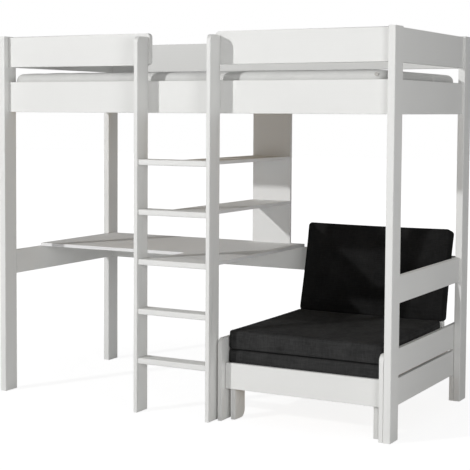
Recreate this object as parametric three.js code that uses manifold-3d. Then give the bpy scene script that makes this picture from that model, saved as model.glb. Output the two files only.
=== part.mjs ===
// A loft bed in white lacquered wood. Under it stand a desk with a shelf unit
// and a pull-out chair bed; a ladder is fixed to the front.
//
// Millimetres, +Z up. X runs along the bed, to the right for someone who faces
// the ladder; Y runs from the front to the back. All pieces are placed from
// the bed's front left bottom corner, and the last group moves that corner so
// that the origin is the bottom centre of the whole object.

import * as THREE from 'three';
import { mergeVertices } from 'three/addons/utils/BufferGeometryUtils.js';
import Module from 'manifold-3d';

const wasm = await Module();
wasm.setup();

// Mattress, which sets the length and the width inside the bed frame
const mattressLength = 2000;
const mattressWidth = 900;
const mattressThickness = 134;
const mattressCrown = 4;
const mattressCorner = 50;
const mattressEdge = 16;
const mattressEndClearance = 12;
const mattressSideClearance = 13;

// Bed frame
const postHeight = 1786;
const postThickness = 34;
const postDepth = 95;
const postAboveGuard = 3;
const longBoardThickness = 24;
const longBoardSetback = 33;
const endBoardThickness = 22;
const endBoardSetback = 12;
const guardHeight = 150;
const guardGap = 73;
const guardEndRadius = 20;
const bedRailHeight = 150;
const midRailHeight = 120;
const midRailTop = 711.5;
const boardEdge = 3;
const postEdge = 4;

// Slatted base
const ledgerWidth = 22;
const ledgerHeight = 22;
const ledgerAboveRailBottom = 20;
const slatCount = 14;
const slatWidth = 70;
const slatThickness = 14;
const slatEndClearance = 1;
const slatFromEndBoard = 42;
const strapWidth = 30;
const strapThickness = 3;
const strapFromSlatEnd = 190;

// Ladder
const ladderWidth = 405;
const ladderFromLeft = 834;
const stileThickness = 20;
const stileDepth = 95;
const stileBelowGuard = 18;
const stileTopRadius = 28;
const guardPastStile = 8;
const lowestRungTop = 260.5;
const topRungBelowRail = 215.5;
const rungThickness = 27;
const rungSetback = 7;
const rungEdge = 5;

// Desk and shelf unit
const deskThickness = 16;
const deskBackSeat = 12;
const deskEndSeat = 6;
const deskPastStile = 8;
const deskDepth = 687;
const deskCutFromStile = 52;
const deskCutRadius = 35;
const deskNotchClearance = 0.3;
const deskEdge = 1;
const panelThickness = 16;
const panelWidth = 220;
const panelFromStile = 81;
const panelLedgerClearance = 0.3;
const shelfThickness = 16;
const shelfBelowRungTop = 9;
const shelfEdge = 1;

// Chair bed, fixed part
const chairLadderClearance = 13.5;
const chairPostClearance = 0.5;
const chairLegThickness = 20;
const chairLegDepth = 95;
const chairLegHeight = 382;
const chairLegRadius = 30;
const chairEdge = 2;
const sideBoardHeight = 120;
const sideBoardGap = 12;
const backRailFromWallSide = 178;
const backRailHeight = 95;
const backRailThickness = 34;
const backRailAboveSide = 24;
const slatBelowSideTop = 140;
const chairSlatThickness = 20;
const chairSlatGap = 22.75;
const fixedSlatCount = 5;
const slatFromSideFrame = 21.5;
const slatFromWallSide = 57;
const fixedBarHeight = 30;
const frontBarDepth = 22;
const rearBarDepth = 33;
const chairLedgerWidth = 20;
const chairLedgerHeight = 30;

// Chair bed, pull-out part
const frontBoardThickness = 20;
const frontBoardHeight = 120;
const frontBoardSetback = 33;
const frontBoardAboveSlats = 24;
const frontBoardClearance = 1.5;
const pullOutLegThickness = 22;
const pullOutLegDepth = 97;
const pullOutLegRadius = 35;
const movingBarClearance = 2;
const slatRunningGap = 0.5;
const legRunningGap = 1.5;

// Cushions
const seatCushionThickness = 82.5;
const seatCushionCrown = 6;
const cushionSideClearance = 2.5;
const cushionFrontClearance = 1;
const cushionRearClearance = 13;
const cushionCorner = 38;
const cushionEdge = 15;
const cushionDrawIn = 5;
const backCushionHeight = 450;
const backCushionThickness = 80;
const backCushionCrown = 8;
const backCushionPastRail = 2;
const seatGap = 0.3;

// Facets
const edgeFacets = 2;
const cornerFacets = 5;
const plateEdgeFacets = 2;
const cushionSideSteps = 8;
const cushionCornerSteps = 3;
const cushionEdgeSteps = 3;
const cushionBandSteps = 3;
const cushionFaceRings = 6;

const materials = {
  lacquer: { name: 'white_lacquer', color: 0xe8e8e6, roughness: 0.42 },
  melamine: { name: 'white_melamine', color: 0xe4e4e2, roughness: 0.3 },
  pine: { name: 'bare_pine', color: 0xd8bd8f, roughness: 0.7 },
  ticking: { name: 'mattress_ticking', color: 0xf0f0ee, roughness: 0.9 },
  canvas: { name: 'black_canvas', color: 0x1e1e1e, roughness: 0.95 },
};

const unitX = new THREE.Vector3(1, 0, 0);
const unitY = new THREE.Vector3(0, 1, 0);
const unitZ = new THREE.Vector3(0, 0, 1);

// A profile is drawn in two axes and extruded along the third. Each entry
// turns an extrusion along Z into one along the named axis.
const alongAxis = {
  x: new THREE.Matrix4().makeBasis(unitY, unitZ, unitX),
  y: new THREE.Matrix4().makeBasis(unitZ, unitX, unitY),
  z: new THREE.Matrix4(),
};
const profileAxes = { x: ['y', 'z'], y: ['z', 'x'], z: ['x', 'y'] };

function addMesh(group, name, geometry, material) {
  const mesh = new THREE.Mesh(geometry, new THREE.MeshStandardMaterial(material));
  mesh.name = name;
  group.add(mesh);
  return mesh;
}

// A rectangle with its own radius at each corner, in the order low-low,
// high-low, high-high, low-high of its two axes.
function roundedRectangle(width, height, radii) {
  const [lowLow, highLow, highHigh, lowHigh] = radii;
  const quarter = Math.PI / 2;
  const shape = new THREE.Shape();
  shape.moveTo(lowLow, 0);
  shape.lineTo(width - highLow, 0);
  if (highLow > 0) shape.absarc(width - highLow, highLow, highLow, -quarter, 0, false);
  shape.lineTo(width, height - highHigh);
  if (highHigh > 0) shape.absarc(width - highHigh, height - highHigh, highHigh, 0, quarter, false);
  shape.lineTo(lowHigh, height);
  if (lowHigh > 0) shape.absarc(lowHigh, height - lowHigh, lowHigh, quarter, Math.PI, false);
  shape.lineTo(0, lowLow);
  if (lowLow > 0) shape.absarc(lowLow, lowLow, lowLow, Math.PI, Math.PI + quarter, false);
  return shape;
}

// Extrudes a shape to the given thickness and rounds its rim by the edge.
function extrudeWithEdge(shape, thickness, edge, facets) {
  return new THREE.ExtrudeGeometry(shape, {
    depth: thickness - 2 * edge,
    bevelEnabled: edge > 0,
    bevelThickness: edge,
    bevelSize: edge,
    bevelOffset: -edge,
    bevelSegments: plateEdgeFacets,
    curveSegments: facets,
  }).translate(0, 0, edge);
}

// A block from low to high. Its profile across the named axis has a radius at
// each corner, and its rim, where the profile ends, is rounded by the edge.
function profiled(axis, low, high, radii, edge, facets) {
  const size = new THREE.Vector3(...high).sub(new THREE.Vector3(...low));
  const [first, second] = profileAxes[axis];
  const shape = roundedRectangle(size[first], size[second], radii);
  const geometry = extrudeWithEdge(shape, size[axis], edge, facets);
  geometry.applyMatrix4(alongAxis[axis]);
  return geometry.translate(...low);
}

// A board, post, slat or rung: four rounded long edges and square ends.
function addBoard(group, name, axis, low, high, material, edge = boardEdge) {
  const geometry = profiled(axis, low, high, [edge, edge, edge, edge], 0, edgeFacets);
  return addMesh(group, name, geometry, material);
}

// A plate sawn to an outline with rounded corners, with a rounded rim.
function addPlate(group, name, axis, low, high, radii, material, edge) {
  return addMesh(group, name, profiled(axis, low, high, radii, edge, cornerFacets), material);
}

function toSolid(geometry) {
  const bare = geometry.clone();
  bare.deleteAttribute('normal');
  bare.deleteAttribute('uv');
  const merged = mergeVertices(bare);
  return new wasm.Manifold(new wasm.Mesh({
    numProp: 3,
    vertProperties: new Float32Array(merged.attributes.position.array),
    triVerts: new Uint32Array(merged.index.array),
  }));
}

function toGeometry(solid) {
  const mesh = solid.getMesh();
  const geometry = new THREE.BufferGeometry();
  geometry.setAttribute('position', new THREE.BufferAttribute(mesh.vertProperties, mesh.numProp));
  geometry.setIndex(new THREE.BufferAttribute(mesh.triVerts, 1));
  const faceted = geometry.toNonIndexed();
  faceted.computeVertexNormals();
  return faceted;
}

// Bed frame: four posts, guards above rails on all sides, and mid rails at
// both ends and along the back. Long boards stand back from the posts' faces.
const bedFrame = new THREE.Group();

const bedLength = mattressLength + 2 * (mattressEndClearance + endBoardThickness + endBoardSetback);
const bedDepth = mattressWidth + 2 * (mattressSideClearance + longBoardThickness + longBoardSetback);
const frontFace = longBoardSetback;
const frontInner = frontFace + longBoardThickness;
const backFace = bedDepth - longBoardSetback;
const backInner = backFace - longBoardThickness;
const postInnerLeft = postThickness;
const postInnerRight = bedLength - postThickness;
const frontPostBack = postDepth;
const backPostFront = bedDepth - postDepth;
const endInnerLeft = endBoardSetback + endBoardThickness;
const endInnerRight = bedLength - endInnerLeft;
const guardTop = postHeight - postAboveGuard;
const guardBottom = guardTop - guardHeight;
const bedRailTop = guardBottom - guardGap;
const bedRailBottom = bedRailTop - bedRailHeight;
const midRailBottom = midRailTop - midRailHeight;

for (const [side, left] of [['left', 0], ['right', postInnerRight]]) {
  for (const [end, front] of [['front', 0], ['back', backPostFront]]) {
    addBoard(bedFrame, `post_${end}_${side}`, 'z', [left, front, 0],
      [left + postThickness, front + postDepth, postHeight], materials.lacquer, postEdge);
  }
}

const endBoards = [
  ['guard_end', guardBottom, guardTop],
  ['bed_rail_end', bedRailBottom, bedRailTop],
  ['mid_rail', midRailBottom, midRailTop],
];
for (const [side, left] of [['left', endBoardSetback], ['right', endInnerRight]]) {
  for (const [name, bottom, top] of endBoards) {
    addBoard(bedFrame, `${name}_${side}`, 'y', [left, frontPostBack, bottom],
      [left + endBoardThickness, backPostFront, top], materials.lacquer);
  }
}

const longBoards = [
  ['bed_rail_front', frontFace, bedRailBottom, bedRailTop],
  ['bed_rail_back', backInner, bedRailBottom, bedRailTop],
  ['guard_back', backInner, guardBottom, guardTop],
  ['mid_rail_back', backInner, midRailBottom, midRailTop],
];
for (const [name, front, bottom, top] of longBoards) {
  addBoard(bedFrame, name, 'x', [postInnerLeft, front, bottom],
    [postInnerRight, front + longBoardThickness, top], materials.lacquer);
}

// The front guard is two boards with the way in between them. Their ends
// beside the ladder are rounded.
const ladderRight = ladderFromLeft + ladderWidth;
const leftStileInner = ladderFromLeft + stileThickness;
const rightStileInner = ladderRight - stileThickness;
addPlate(bedFrame, 'guard_front_left', 'y', [postInnerLeft, frontFace, guardBottom],
  [leftStileInner + guardPastStile, frontInner, guardTop],
  [0, 0, guardEndRadius, guardEndRadius], materials.lacquer, boardEdge);
addPlate(bedFrame, 'guard_front_right', 'y', [rightStileInner - guardPastStile, frontFace, guardBottom],
  [postInnerRight, frontInner, guardTop],
  [guardEndRadius, guardEndRadius, 0, 0], materials.lacquer, boardEdge);

// Sleeping place: two ledgers, a roll of slats on two straps, a mattress.
const sleepingPlace = new THREE.Group();

const ledgerBottom = bedRailBottom + ledgerAboveRailBottom;
const ledgerTop = ledgerBottom + ledgerHeight;
const slatsTop = ledgerTop + slatThickness;
for (const [end, front] of [['front', frontInner], ['back', backInner - ledgerWidth]]) {
  addBoard(sleepingPlace, `slat_ledger_${end}`, 'x', [endInnerLeft, front, ledgerBottom],
    [endInnerRight, front + ledgerWidth, ledgerTop], materials.pine);
}

function slatRoll() {
  const slatFront = frontInner + slatEndClearance;
  const slatBack = backInner - slatEndClearance;
  const first = endInnerLeft + slatFromEndBoard;
  const last = endInnerRight - slatFromEndBoard - slatWidth;
  const edges = [boardEdge, boardEdge, boardEdge, boardEdge];
  let roll = null;
  for (let i = 0; i < slatCount; i += 1) {
    const left = first + i * (last - first) / (slatCount - 1);
    const slat = toSolid(profiled('y', [left, slatFront, ledgerTop],
      [left + slatWidth, slatBack, slatsTop], edges, 0, 1));
    roll = roll ? roll.add(slat) : slat;
  }
  const strapBottom = ledgerTop + (slatThickness - strapThickness) / 2;
  for (const front of [slatFront + strapFromSlatEnd, slatBack - strapFromSlatEnd - strapWidth]) {
    const strap = profiled('x', [first, front, strapBottom],
      [last + slatWidth, front + strapWidth, strapBottom + strapThickness], [0, 0, 0, 0], 0, 1);
    roll = roll.add(toSolid(strap));
  }
  return toGeometry(roll);
}
addMesh(sleepingPlace, 'slat_base', slatRoll(), materials.pine);

// The plan of a soft block: a rectangle with round corners whose sides are
// drawn in towards their middles.
function softPlan(width, depth, corner, drawIn) {
  const points = [];
  const quarter = Math.PI / 2;
  const toCornerX = width / 2 - corner;
  const toCornerY = depth / 2 - corner;
  const corners = [[1, 1], [-1, 1], [-1, -1], [1, -1]];
  const pointAt = (index, angle) => {
    const [signX, signY] = corners[index % corners.length];
    return new THREE.Vector2(
      signX * toCornerX + corner * Math.cos(angle),
      signY * toCornerY + corner * Math.sin(angle),
    );
  };
  corners.forEach((signs, index) => {
    const start = index * quarter;
    const end = start + quarter;
    for (let i = 0; i < cushionCornerSteps; i += 1) {
      points.push(pointAt(index, start + (i / cushionCornerSteps) * quarter));
    }
    const from = pointAt(index, end);
    const to = pointAt(index + 1, end);
    const inward = new THREE.Vector2(-Math.cos(end), -Math.sin(end));
    for (let i = 0; i < cushionSideSteps; i += 1) {
      const share = i / cushionSideSteps;
      const drawn = drawIn * (1 - (2 * share - 1) ** 2);
      points.push(from.clone().lerp(to, share).addScaledVector(inward, drawn));
    }
  });
  return points;
}

// A plan grown outwards along its own normals.
function grown(plan, distance) {
  return plan.map((point, index) => {
    const before = plan[(index + plan.length - 1) % plan.length];
    const after = plan[(index + 1) % plan.length];
    const outward = new THREE.Vector2(after.y - before.y, before.x - after.x).normalize();
    return point.clone().addScaledVector(outward, distance);
  });
}

// A soft block in rings of points: from the middle of its lower face, round
// the lower edge, up the band, round the upper edge, to the middle of its
// upper face, which rises in a crown.
function softBlock({ width, depth, height, corner, edge, drawIn, crown }) {
  const plan = softPlan(width - 2 * edge, depth - 2 * edge, corner - edge, drawIn);
  const flatnessShare = 2.6;
  const faceRingShare = 0.7;
  const rise = (x, y) => {
    const acrossX = Math.min(1, Math.abs(2 * x) / (width - 2 * edge));
    const acrossY = Math.min(1, Math.abs(2 * y) / (depth - 2 * edge));
    return (1 - acrossX ** flatnessShare) * (1 - acrossY ** flatnessShare);
  };
  const rings = [];
  const addFaceRing = (ring, level, swell) => {
    const share = (ring / cushionFaceRings) ** faceRingShare;
    const outline = plan.map((point) => point.clone().multiplyScalar(share));
    rings.push(outline.map(({ x, y }) => [x, y, level + swell * rise(x, y)]));
  };
  const addEdgeRings = (middle, firstAngle) => {
    for (let i = 0; i <= cushionEdgeSteps; i += 1) {
      const angle = firstAngle + (i / cushionEdgeSteps) * (Math.PI / 2);
      const outline = grown(plan, edge * Math.cos(angle));
      rings.push(outline.map(({ x, y }) => [x, y, middle + edge * Math.sin(angle)]));
    }
  };
  for (let ring = 1; ring < cushionFaceRings; ring += 1) addFaceRing(ring, 0, 0);
  addEdgeRings(edge, -Math.PI / 2);
  for (let step = 1; step < cushionBandSteps; step += 1) {
    const level = edge + (height - 2 * edge) * (step / cushionBandSteps);
    rings.push(grown(plan, edge).map(({ x, y }) => [x, y, level]));
  }
  addEdgeRings(height - edge, 0);
  for (let ring = cushionFaceRings - 1; ring > 0; ring -= 1) addFaceRing(ring, height, crown);
  return closedFromRings(rings, height + crown);
}

function closedFromRings(rings, topLevel) {
  const count = rings[0].length;
  const positions = [0, 0, 0];
  rings.forEach((ring) => ring.forEach((point) => positions.push(...point)));
  positions.push(0, 0, topLevel);
  const top = 1 + rings.length * count;
  const at = (ring, index) => 1 + ring * count + (index % count);
  const triangles = [];
  for (let i = 0; i < count; i += 1) {
    triangles.push(0, at(0, i + 1), at(0, i));
    triangles.push(top, at(rings.length - 1, i), at(rings.length - 1, i + 1));
    for (let ring = 0; ring + 1 < rings.length; ring += 1) {
      triangles.push(at(ring, i), at(ring, i + 1), at(ring + 1, i + 1));
      triangles.push(at(ring, i), at(ring + 1, i + 1), at(ring + 1, i));
    }
  }
  const geometry = new THREE.BufferGeometry();
  geometry.setAttribute('position', new THREE.Float32BufferAttribute(positions, 3));
  geometry.setIndex(triangles);
  geometry.computeVertexNormals();
  return geometry;
}

const mattress = addMesh(sleepingPlace, 'mattress', softBlock({
  width: mattressLength,
  depth: mattressWidth,
  height: mattressThickness,
  corner: mattressCorner,
  edge: mattressEdge,
  drawIn: 0,
  crown: mattressCrown,
}), materials.ticking);
mattress.position.set(bedLength / 2, (frontInner + backInner) / 2, slatsTop + seatGap);

// Ladder: two stiles against the front of the guards and the rail, and rungs
// let in between them. The third rung is level with the desk, and the second
// and the fourth lie halfway to the lowest and the highest.
const ladder = new THREE.Group();

const stileFront = frontFace - stileDepth;
const stileTop = guardTop - stileBelowGuard;
const deskTop = midRailTop + deskThickness;
const highestRungTop = bedRailBottom - topRungBelowRail;
const fourthRungTop = (deskTop + highestRungTop) / 2;
const secondRungTop = (lowestRungTop + deskTop) / 2;
const rungTops = [lowestRungTop, secondRungTop, deskTop, fourthRungTop, highestRungTop];
for (const [side, left] of [['left', ladderFromLeft], ['right', rightStileInner]]) {
  addPlate(ladder, `ladder_stile_${side}`, 'x', [left, stileFront, 0],
    [left + stileThickness, frontFace, stileTop],
    [0, 0, 0, stileTopRadius], materials.lacquer, boardEdge);
}
rungTops.forEach((top, index) => {
  addBoard(ladder, `ladder_rung_${index + 1}`, 'x',
    [leftStileInner, stileFront + rungSetback, top - rungThickness],
    [rightStileInner, frontFace, top], materials.lacquer, rungEdge);
});

// Desk: a board that lies on the left and back mid rails, is notched round
// the back left post, and reaches forward to the ladder's rung.
const desk = new THREE.Group();

const deskLeft = endInnerLeft - deskEndSeat;
const deskBack = backInner + deskBackSeat;
const deskRight = rightStileInner + deskPastStile;

function deskOutline() {
  const deskFront = deskBack - deskDepth;
  const cutRight = leftStileInner + deskCutFromStile;
  const notchRight = postInnerLeft + deskNotchClearance;
  const notchFront = backPostFront - deskNotchClearance;
  const shape = new THREE.Shape();
  shape.moveTo(deskLeft, deskFront);
  shape.lineTo(cutRight - deskCutRadius, deskFront);
  shape.absarc(cutRight - deskCutRadius, deskFront - deskCutRadius, deskCutRadius, Math.PI / 2, 0, true);
  shape.lineTo(cutRight, frontFace);
  shape.lineTo(deskRight, frontFace);
  shape.lineTo(deskRight, deskBack);
  shape.lineTo(notchRight, deskBack);
  shape.lineTo(notchRight, notchFront);
  shape.lineTo(deskLeft, notchFront);
  return shape;
}
const deskGeometry = extrudeWithEdge(deskOutline(), deskThickness, deskEdge, cornerFacets);
addMesh(desk, 'desk_top', deskGeometry.translate(0, 0, midRailTop), materials.melamine);

// Shelf unit: a back panel that stands on the desk and is fixed to the rail
// above, and two shelves from that panel forward to the ladder's rungs.
const panelLeft = leftStileInner + panelFromStile;
const panelRight = panelLeft + panelWidth;
const panelFront = backInner - panelThickness;
addBoard(desk, 'shelf_back_panel', 'z', [panelLeft, panelFront, deskTop],
  [panelRight, backInner, ledgerBottom - panelLedgerClearance], materials.melamine, shelfEdge);
for (const [name, rungTop] of [['shelf_upper', highestRungTop], ['shelf_lower', fourthRungTop]]) {
  const top = rungTop - shelfBelowRungTop;
  addBoard(desk, name, 'y', [panelLeft, frontFace, top - shelfThickness],
    [panelRight, panelFront, top], materials.melamine, shelfEdge);
}

// Chair bed, fixed part: two side frames of legs and boards, a back rail
// between them, and two bars on ledgers that carry the fixed slats.
const chair = new THREE.Group();

const chairLeft = ladderRight + chairLadderClearance;
const chairRight = postInnerRight - chairPostClearance;
const chairInnerLeft = chairLeft + chairLegThickness;
const chairInnerRight = chairRight - chairLegThickness;
const rearLegFront = bedDepth - chairLegDepth;
const upperBoardBottom = chairLegHeight - sideBoardHeight;
const lowerBoardTop = upperBoardBottom - sideBoardGap;
const lowerBoardBottom = lowerBoardTop - sideBoardHeight;
for (const [side, left] of [['left', chairLeft], ['right', chairInnerRight]]) {
  const right = left + chairLegThickness;
  addPlate(chair, `chair_leg_front_${side}`, 'x', [left, 0, 0],
    [right, chairLegDepth, chairLegHeight], [0, 0, 0, chairLegRadius], materials.lacquer, chairEdge);
  addPlate(chair, `chair_leg_back_${side}`, 'x', [left, rearLegFront, 0],
    [right, bedDepth, chairLegHeight], [0, 0, chairLegRadius, 0], materials.lacquer, chairEdge);
  addBoard(chair, `chair_side_upper_${side}`, 'y', [left, chairLegDepth, upperBoardBottom],
    [right, rearLegFront, chairLegHeight], materials.lacquer, chairEdge);
  addBoard(chair, `chair_side_lower_${side}`, 'y', [left, chairLegDepth, lowerBoardBottom],
    [right, rearLegFront, lowerBoardTop], materials.lacquer, chairEdge);
}

const frontBoardBack = frontBoardSetback + frontBoardThickness;
const slatBack = bedDepth - slatFromWallSide;
const backRailBack = bedDepth - backRailFromWallSide;
const backRailFront = backRailBack - backRailThickness;
const backRailTop = chairLegHeight + backRailAboveSide;
addBoard(chair, 'chair_back_rail', 'x', [chairInnerLeft, backRailFront, backRailTop - backRailHeight],
  [chairInnerRight, backRailBack, backRailTop], materials.lacquer);

const slatTop = chairLegHeight - slatBelowSideTop;
const slatBottom = slatTop - chairSlatThickness;
const fixedBarTop = slatBottom - slatRunningGap;
const fixedBarBottom = fixedBarTop - fixedBarHeight;
for (const [name, front, back] of [
  ['chair_bar_front', chairLegDepth, chairLegDepth + frontBarDepth],
  ['chair_bar_back', slatBack - rearBarDepth, slatBack],
]) {
  addBoard(chair, name, 'x', [chairInnerLeft, front, fixedBarBottom],
    [chairInnerRight, back, fixedBarTop], materials.pine);
}
for (const [side, left] of [['left', chairInnerLeft], ['right', chairInnerRight - chairLedgerWidth]]) {
  addBoard(chair, `chair_ledger_${side}`, 'y', [left, chairLegDepth, fixedBarBottom - chairLedgerHeight],
    [left + chairLedgerWidth, slatBack, fixedBarBottom], materials.pine);
}

// Fixed and moving slats lie side by side in turn, like the teeth of two
// combs, so that one set slides out between the other.
const firstSlatLeft = chairInnerLeft + slatFromSideFrame;
const lastSlatRight = chairInnerRight - slatFromSideFrame;
const chairSlatCount = 2 * fixedSlatCount - 1;
const chairSlatRoom = lastSlatRight - firstSlatLeft - (chairSlatCount - 1) * chairSlatGap;
const chairSlatWidth = chairSlatRoom / chairSlatCount;
const slatPitch = chairSlatWidth + chairSlatGap;

function addChairSlat(group, name, place, front, bottom) {
  const left = firstSlatLeft + place * slatPitch;
  addBoard(group, name, 'y', [left, front, bottom],
    [left + chairSlatWidth, slatBack, bottom + chairSlatThickness], materials.pine);
}
for (let i = 0; i < fixedSlatCount; i += 1) {
  addChairSlat(chair, `chair_slat_${i + 1}`, 2 * i, chairLegDepth, fixedBarTop);
}

// Chair bed, pull-out part: a front board, two legs behind it, a bar on the
// legs and the slats that are fixed to the bar.
const pullOut = new THREE.Group();

const frontBoardTop = slatTop + frontBoardAboveSlats;
addBoard(pullOut, 'pull_out_front_board', 'x',
  [chairInnerLeft + frontBoardClearance, frontBoardSetback, frontBoardTop - frontBoardHeight],
  [chairInnerRight - frontBoardClearance, frontBoardBack, frontBoardTop], materials.lacquer, chairEdge);
const pullOutLeft = firstSlatLeft;
const pullOutRight = lastSlatRight;
const pullOutLegTop = fixedBarBottom - legRunningGap;
for (const [side, left] of [['left', pullOutLeft], ['right', pullOutRight - pullOutLegThickness]]) {
  addPlate(pullOut, `pull_out_leg_${side}`, 'x', [left, frontBoardBack, 0],
    [left + pullOutLegThickness, frontBoardBack + pullOutLegDepth, pullOutLegTop],
    [0, pullOutLegRadius, 0, 0], materials.lacquer, chairEdge);
}
addBoard(pullOut, 'pull_out_bar', 'x', [pullOutLeft, frontBoardBack, pullOutLegTop],
  [pullOutRight, chairLegDepth - movingBarClearance, slatBottom], materials.pine);
for (let i = 0; i + 1 < fixedSlatCount; i += 1) {
  addChairSlat(pullOut, `pull_out_slat_${i + 1}`, 2 * i + 1, frontBoardBack, slatBottom);
}

// Cushions: two lie on each other as the seat, and the third stands on the
// back rail and leans on the bed's mid rail.
const cushions = new THREE.Group();

const cushionMiddle = (chairInnerLeft + chairInnerRight) / 2;
const seatDepth = backRailFront - frontBoardBack;
const seatCushionDepth = seatDepth - cushionFrontClearance - cushionRearClearance;
const seatCushionMiddle = frontBoardBack + cushionFrontClearance + seatCushionDepth / 2;
const cushionForm = {
  width: chairInnerRight - chairInnerLeft - 2 * cushionSideClearance,
  corner: cushionCorner,
  edge: cushionEdge,
  drawIn: cushionDrawIn,
};
const seatLayers = [['seat_cushion_lower', 0], ['seat_cushion_upper', seatCushionCrown]];
seatLayers.forEach(([name, crown], layer) => {
  const size = { depth: seatCushionDepth, height: seatCushionThickness, crown };
  const geometry = softBlock({ ...cushionForm, ...size });
  const cushion = addMesh(cushions, name, geometry, materials.canvas);
  const bottom = slatTop + seatGap + layer * (seatCushionThickness + seatGap);
  cushion.position.set(cushionMiddle, seatCushionMiddle, bottom);
});

// The back cushion's lower front edge lies over the back rail. Its lower face
// rests on the rail's rear edge and its rear face on the mid rail's top edge.
// Each pass sets the edge's height from the lean, and the lean from the height.
const backCushionFront = backRailFront - backCushionPastRail;

function backCushionSeat() {
  const passes = 40;
  let lean = 0;
  let level = backRailTop;
  for (let pass = 0; pass < passes; pass += 1) {
    const rearEdgeBehind = backRailBack - backCushionFront;
    level = backRailTop + rearEdgeBehind * Math.tan(lean) + seatGap / Math.cos(lean);
    const behind = backInner - backCushionFront;
    const above = midRailTop - level;
    const reach = Math.hypot(behind, above);
    lean = Math.acos((backCushionThickness + seatGap) / reach) - Math.atan2(above, behind);
  }
  return { lean, level };
}

const backCushionGeometry = softBlock({
  ...cushionForm,
  depth: backCushionHeight,
  height: backCushionThickness,
  crown: backCushionCrown,
});
const crownForward = new THREE.Matrix4().makeBasis(unitX, unitZ, unitY.clone().negate());
backCushionGeometry.applyMatrix4(crownForward);
backCushionGeometry.translate(0, backCushionThickness, backCushionHeight / 2);
const backCushion = addMesh(cushions, 'back_cushion', backCushionGeometry, materials.canvas);
const { lean: backCushionLean, level: backCushionLevel } = backCushionSeat();
backCushion.position.set(cushionMiddle, backCushionFront, backCushionLevel);
backCushion.rotation.x = -backCushionLean;

const loftBed = new THREE.Group();
loftBed.add(bedFrame, sleepingPlace, ladder, desk, chair, pullOut, cushions);
loftBed.position.set(-bedLength / 2, -(bedDepth + stileFront) / 2, 0);

export default loftBed;
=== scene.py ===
import math

import bmesh
import bpy
import numpy as np
from mathutils import Matrix, Vector, noise


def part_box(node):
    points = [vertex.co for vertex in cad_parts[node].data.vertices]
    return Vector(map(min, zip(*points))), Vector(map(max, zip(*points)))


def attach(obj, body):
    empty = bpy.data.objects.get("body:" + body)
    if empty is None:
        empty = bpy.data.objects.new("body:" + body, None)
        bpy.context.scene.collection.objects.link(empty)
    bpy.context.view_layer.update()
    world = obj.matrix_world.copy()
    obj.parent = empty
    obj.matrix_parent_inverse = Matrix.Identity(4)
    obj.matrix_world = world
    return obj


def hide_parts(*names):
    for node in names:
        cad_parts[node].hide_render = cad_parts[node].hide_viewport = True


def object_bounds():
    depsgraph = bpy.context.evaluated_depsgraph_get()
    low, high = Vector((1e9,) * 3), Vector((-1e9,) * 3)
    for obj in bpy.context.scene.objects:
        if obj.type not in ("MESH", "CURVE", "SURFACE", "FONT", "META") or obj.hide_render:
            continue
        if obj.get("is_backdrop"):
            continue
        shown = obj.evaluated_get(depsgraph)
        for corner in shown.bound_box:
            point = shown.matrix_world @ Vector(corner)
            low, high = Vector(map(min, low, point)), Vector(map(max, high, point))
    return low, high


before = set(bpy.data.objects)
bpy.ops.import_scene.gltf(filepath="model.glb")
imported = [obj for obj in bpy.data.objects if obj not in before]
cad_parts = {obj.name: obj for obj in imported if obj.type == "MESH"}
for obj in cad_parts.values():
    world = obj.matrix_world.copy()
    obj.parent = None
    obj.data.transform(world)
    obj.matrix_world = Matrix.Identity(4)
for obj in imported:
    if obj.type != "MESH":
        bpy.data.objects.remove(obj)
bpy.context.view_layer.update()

# Corner posts. Four planed pine posts, 34 x 95 mm, that stand on the floor
# and carry the whole bed. Their long edges are rounded over with a router,
# and they are sprayed with white lacquer before the rails are bolted on.

POST_EDGE = 0.004
SAWN_END = 0.0012
RIM_SEGMENTS = 2
LARGE_RADIUS = 0.01
ARC_STEPS = 4
LARGE_ARC_STEPS = 12
SHARP_CORNER = math.radians(48)
LACQUERED_GRAIN = 0.004
GRAIN_LENGTHS = 90
SPRAY_RIPPLE = 0.0015
LACQUER_CLOUD = 0.35
PROFILE_AXES = {"x": (1, 2, 0), "y": (2, 0, 1), "z": (0, 1, 2)}


def rounded_outline(width, height, radii):
    """The corners low-low, high-low, high-high and low-high, each with its own radius."""
    points = []
    signs = ((0, 0), (1, 0), (1, 1), (0, 1))
    for corner, (radius, (right, up)) in enumerate(zip(radii, signs)):
        steps = ARC_STEPS if radius < LARGE_RADIUS else LARGE_ARC_STEPS
        middle_x = width - radius if right else radius
        middle_y = height - radius if up else radius
        if radius == 0:
            points.append((middle_x, middle_y))
            continue
        for step in range(steps + 1):
            angle = math.radians(180 + 90 * corner + 90 * step / steps)
            points.append((middle_x + radius * math.cos(angle), middle_y + radius * math.sin(angle)))
    return points


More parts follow.
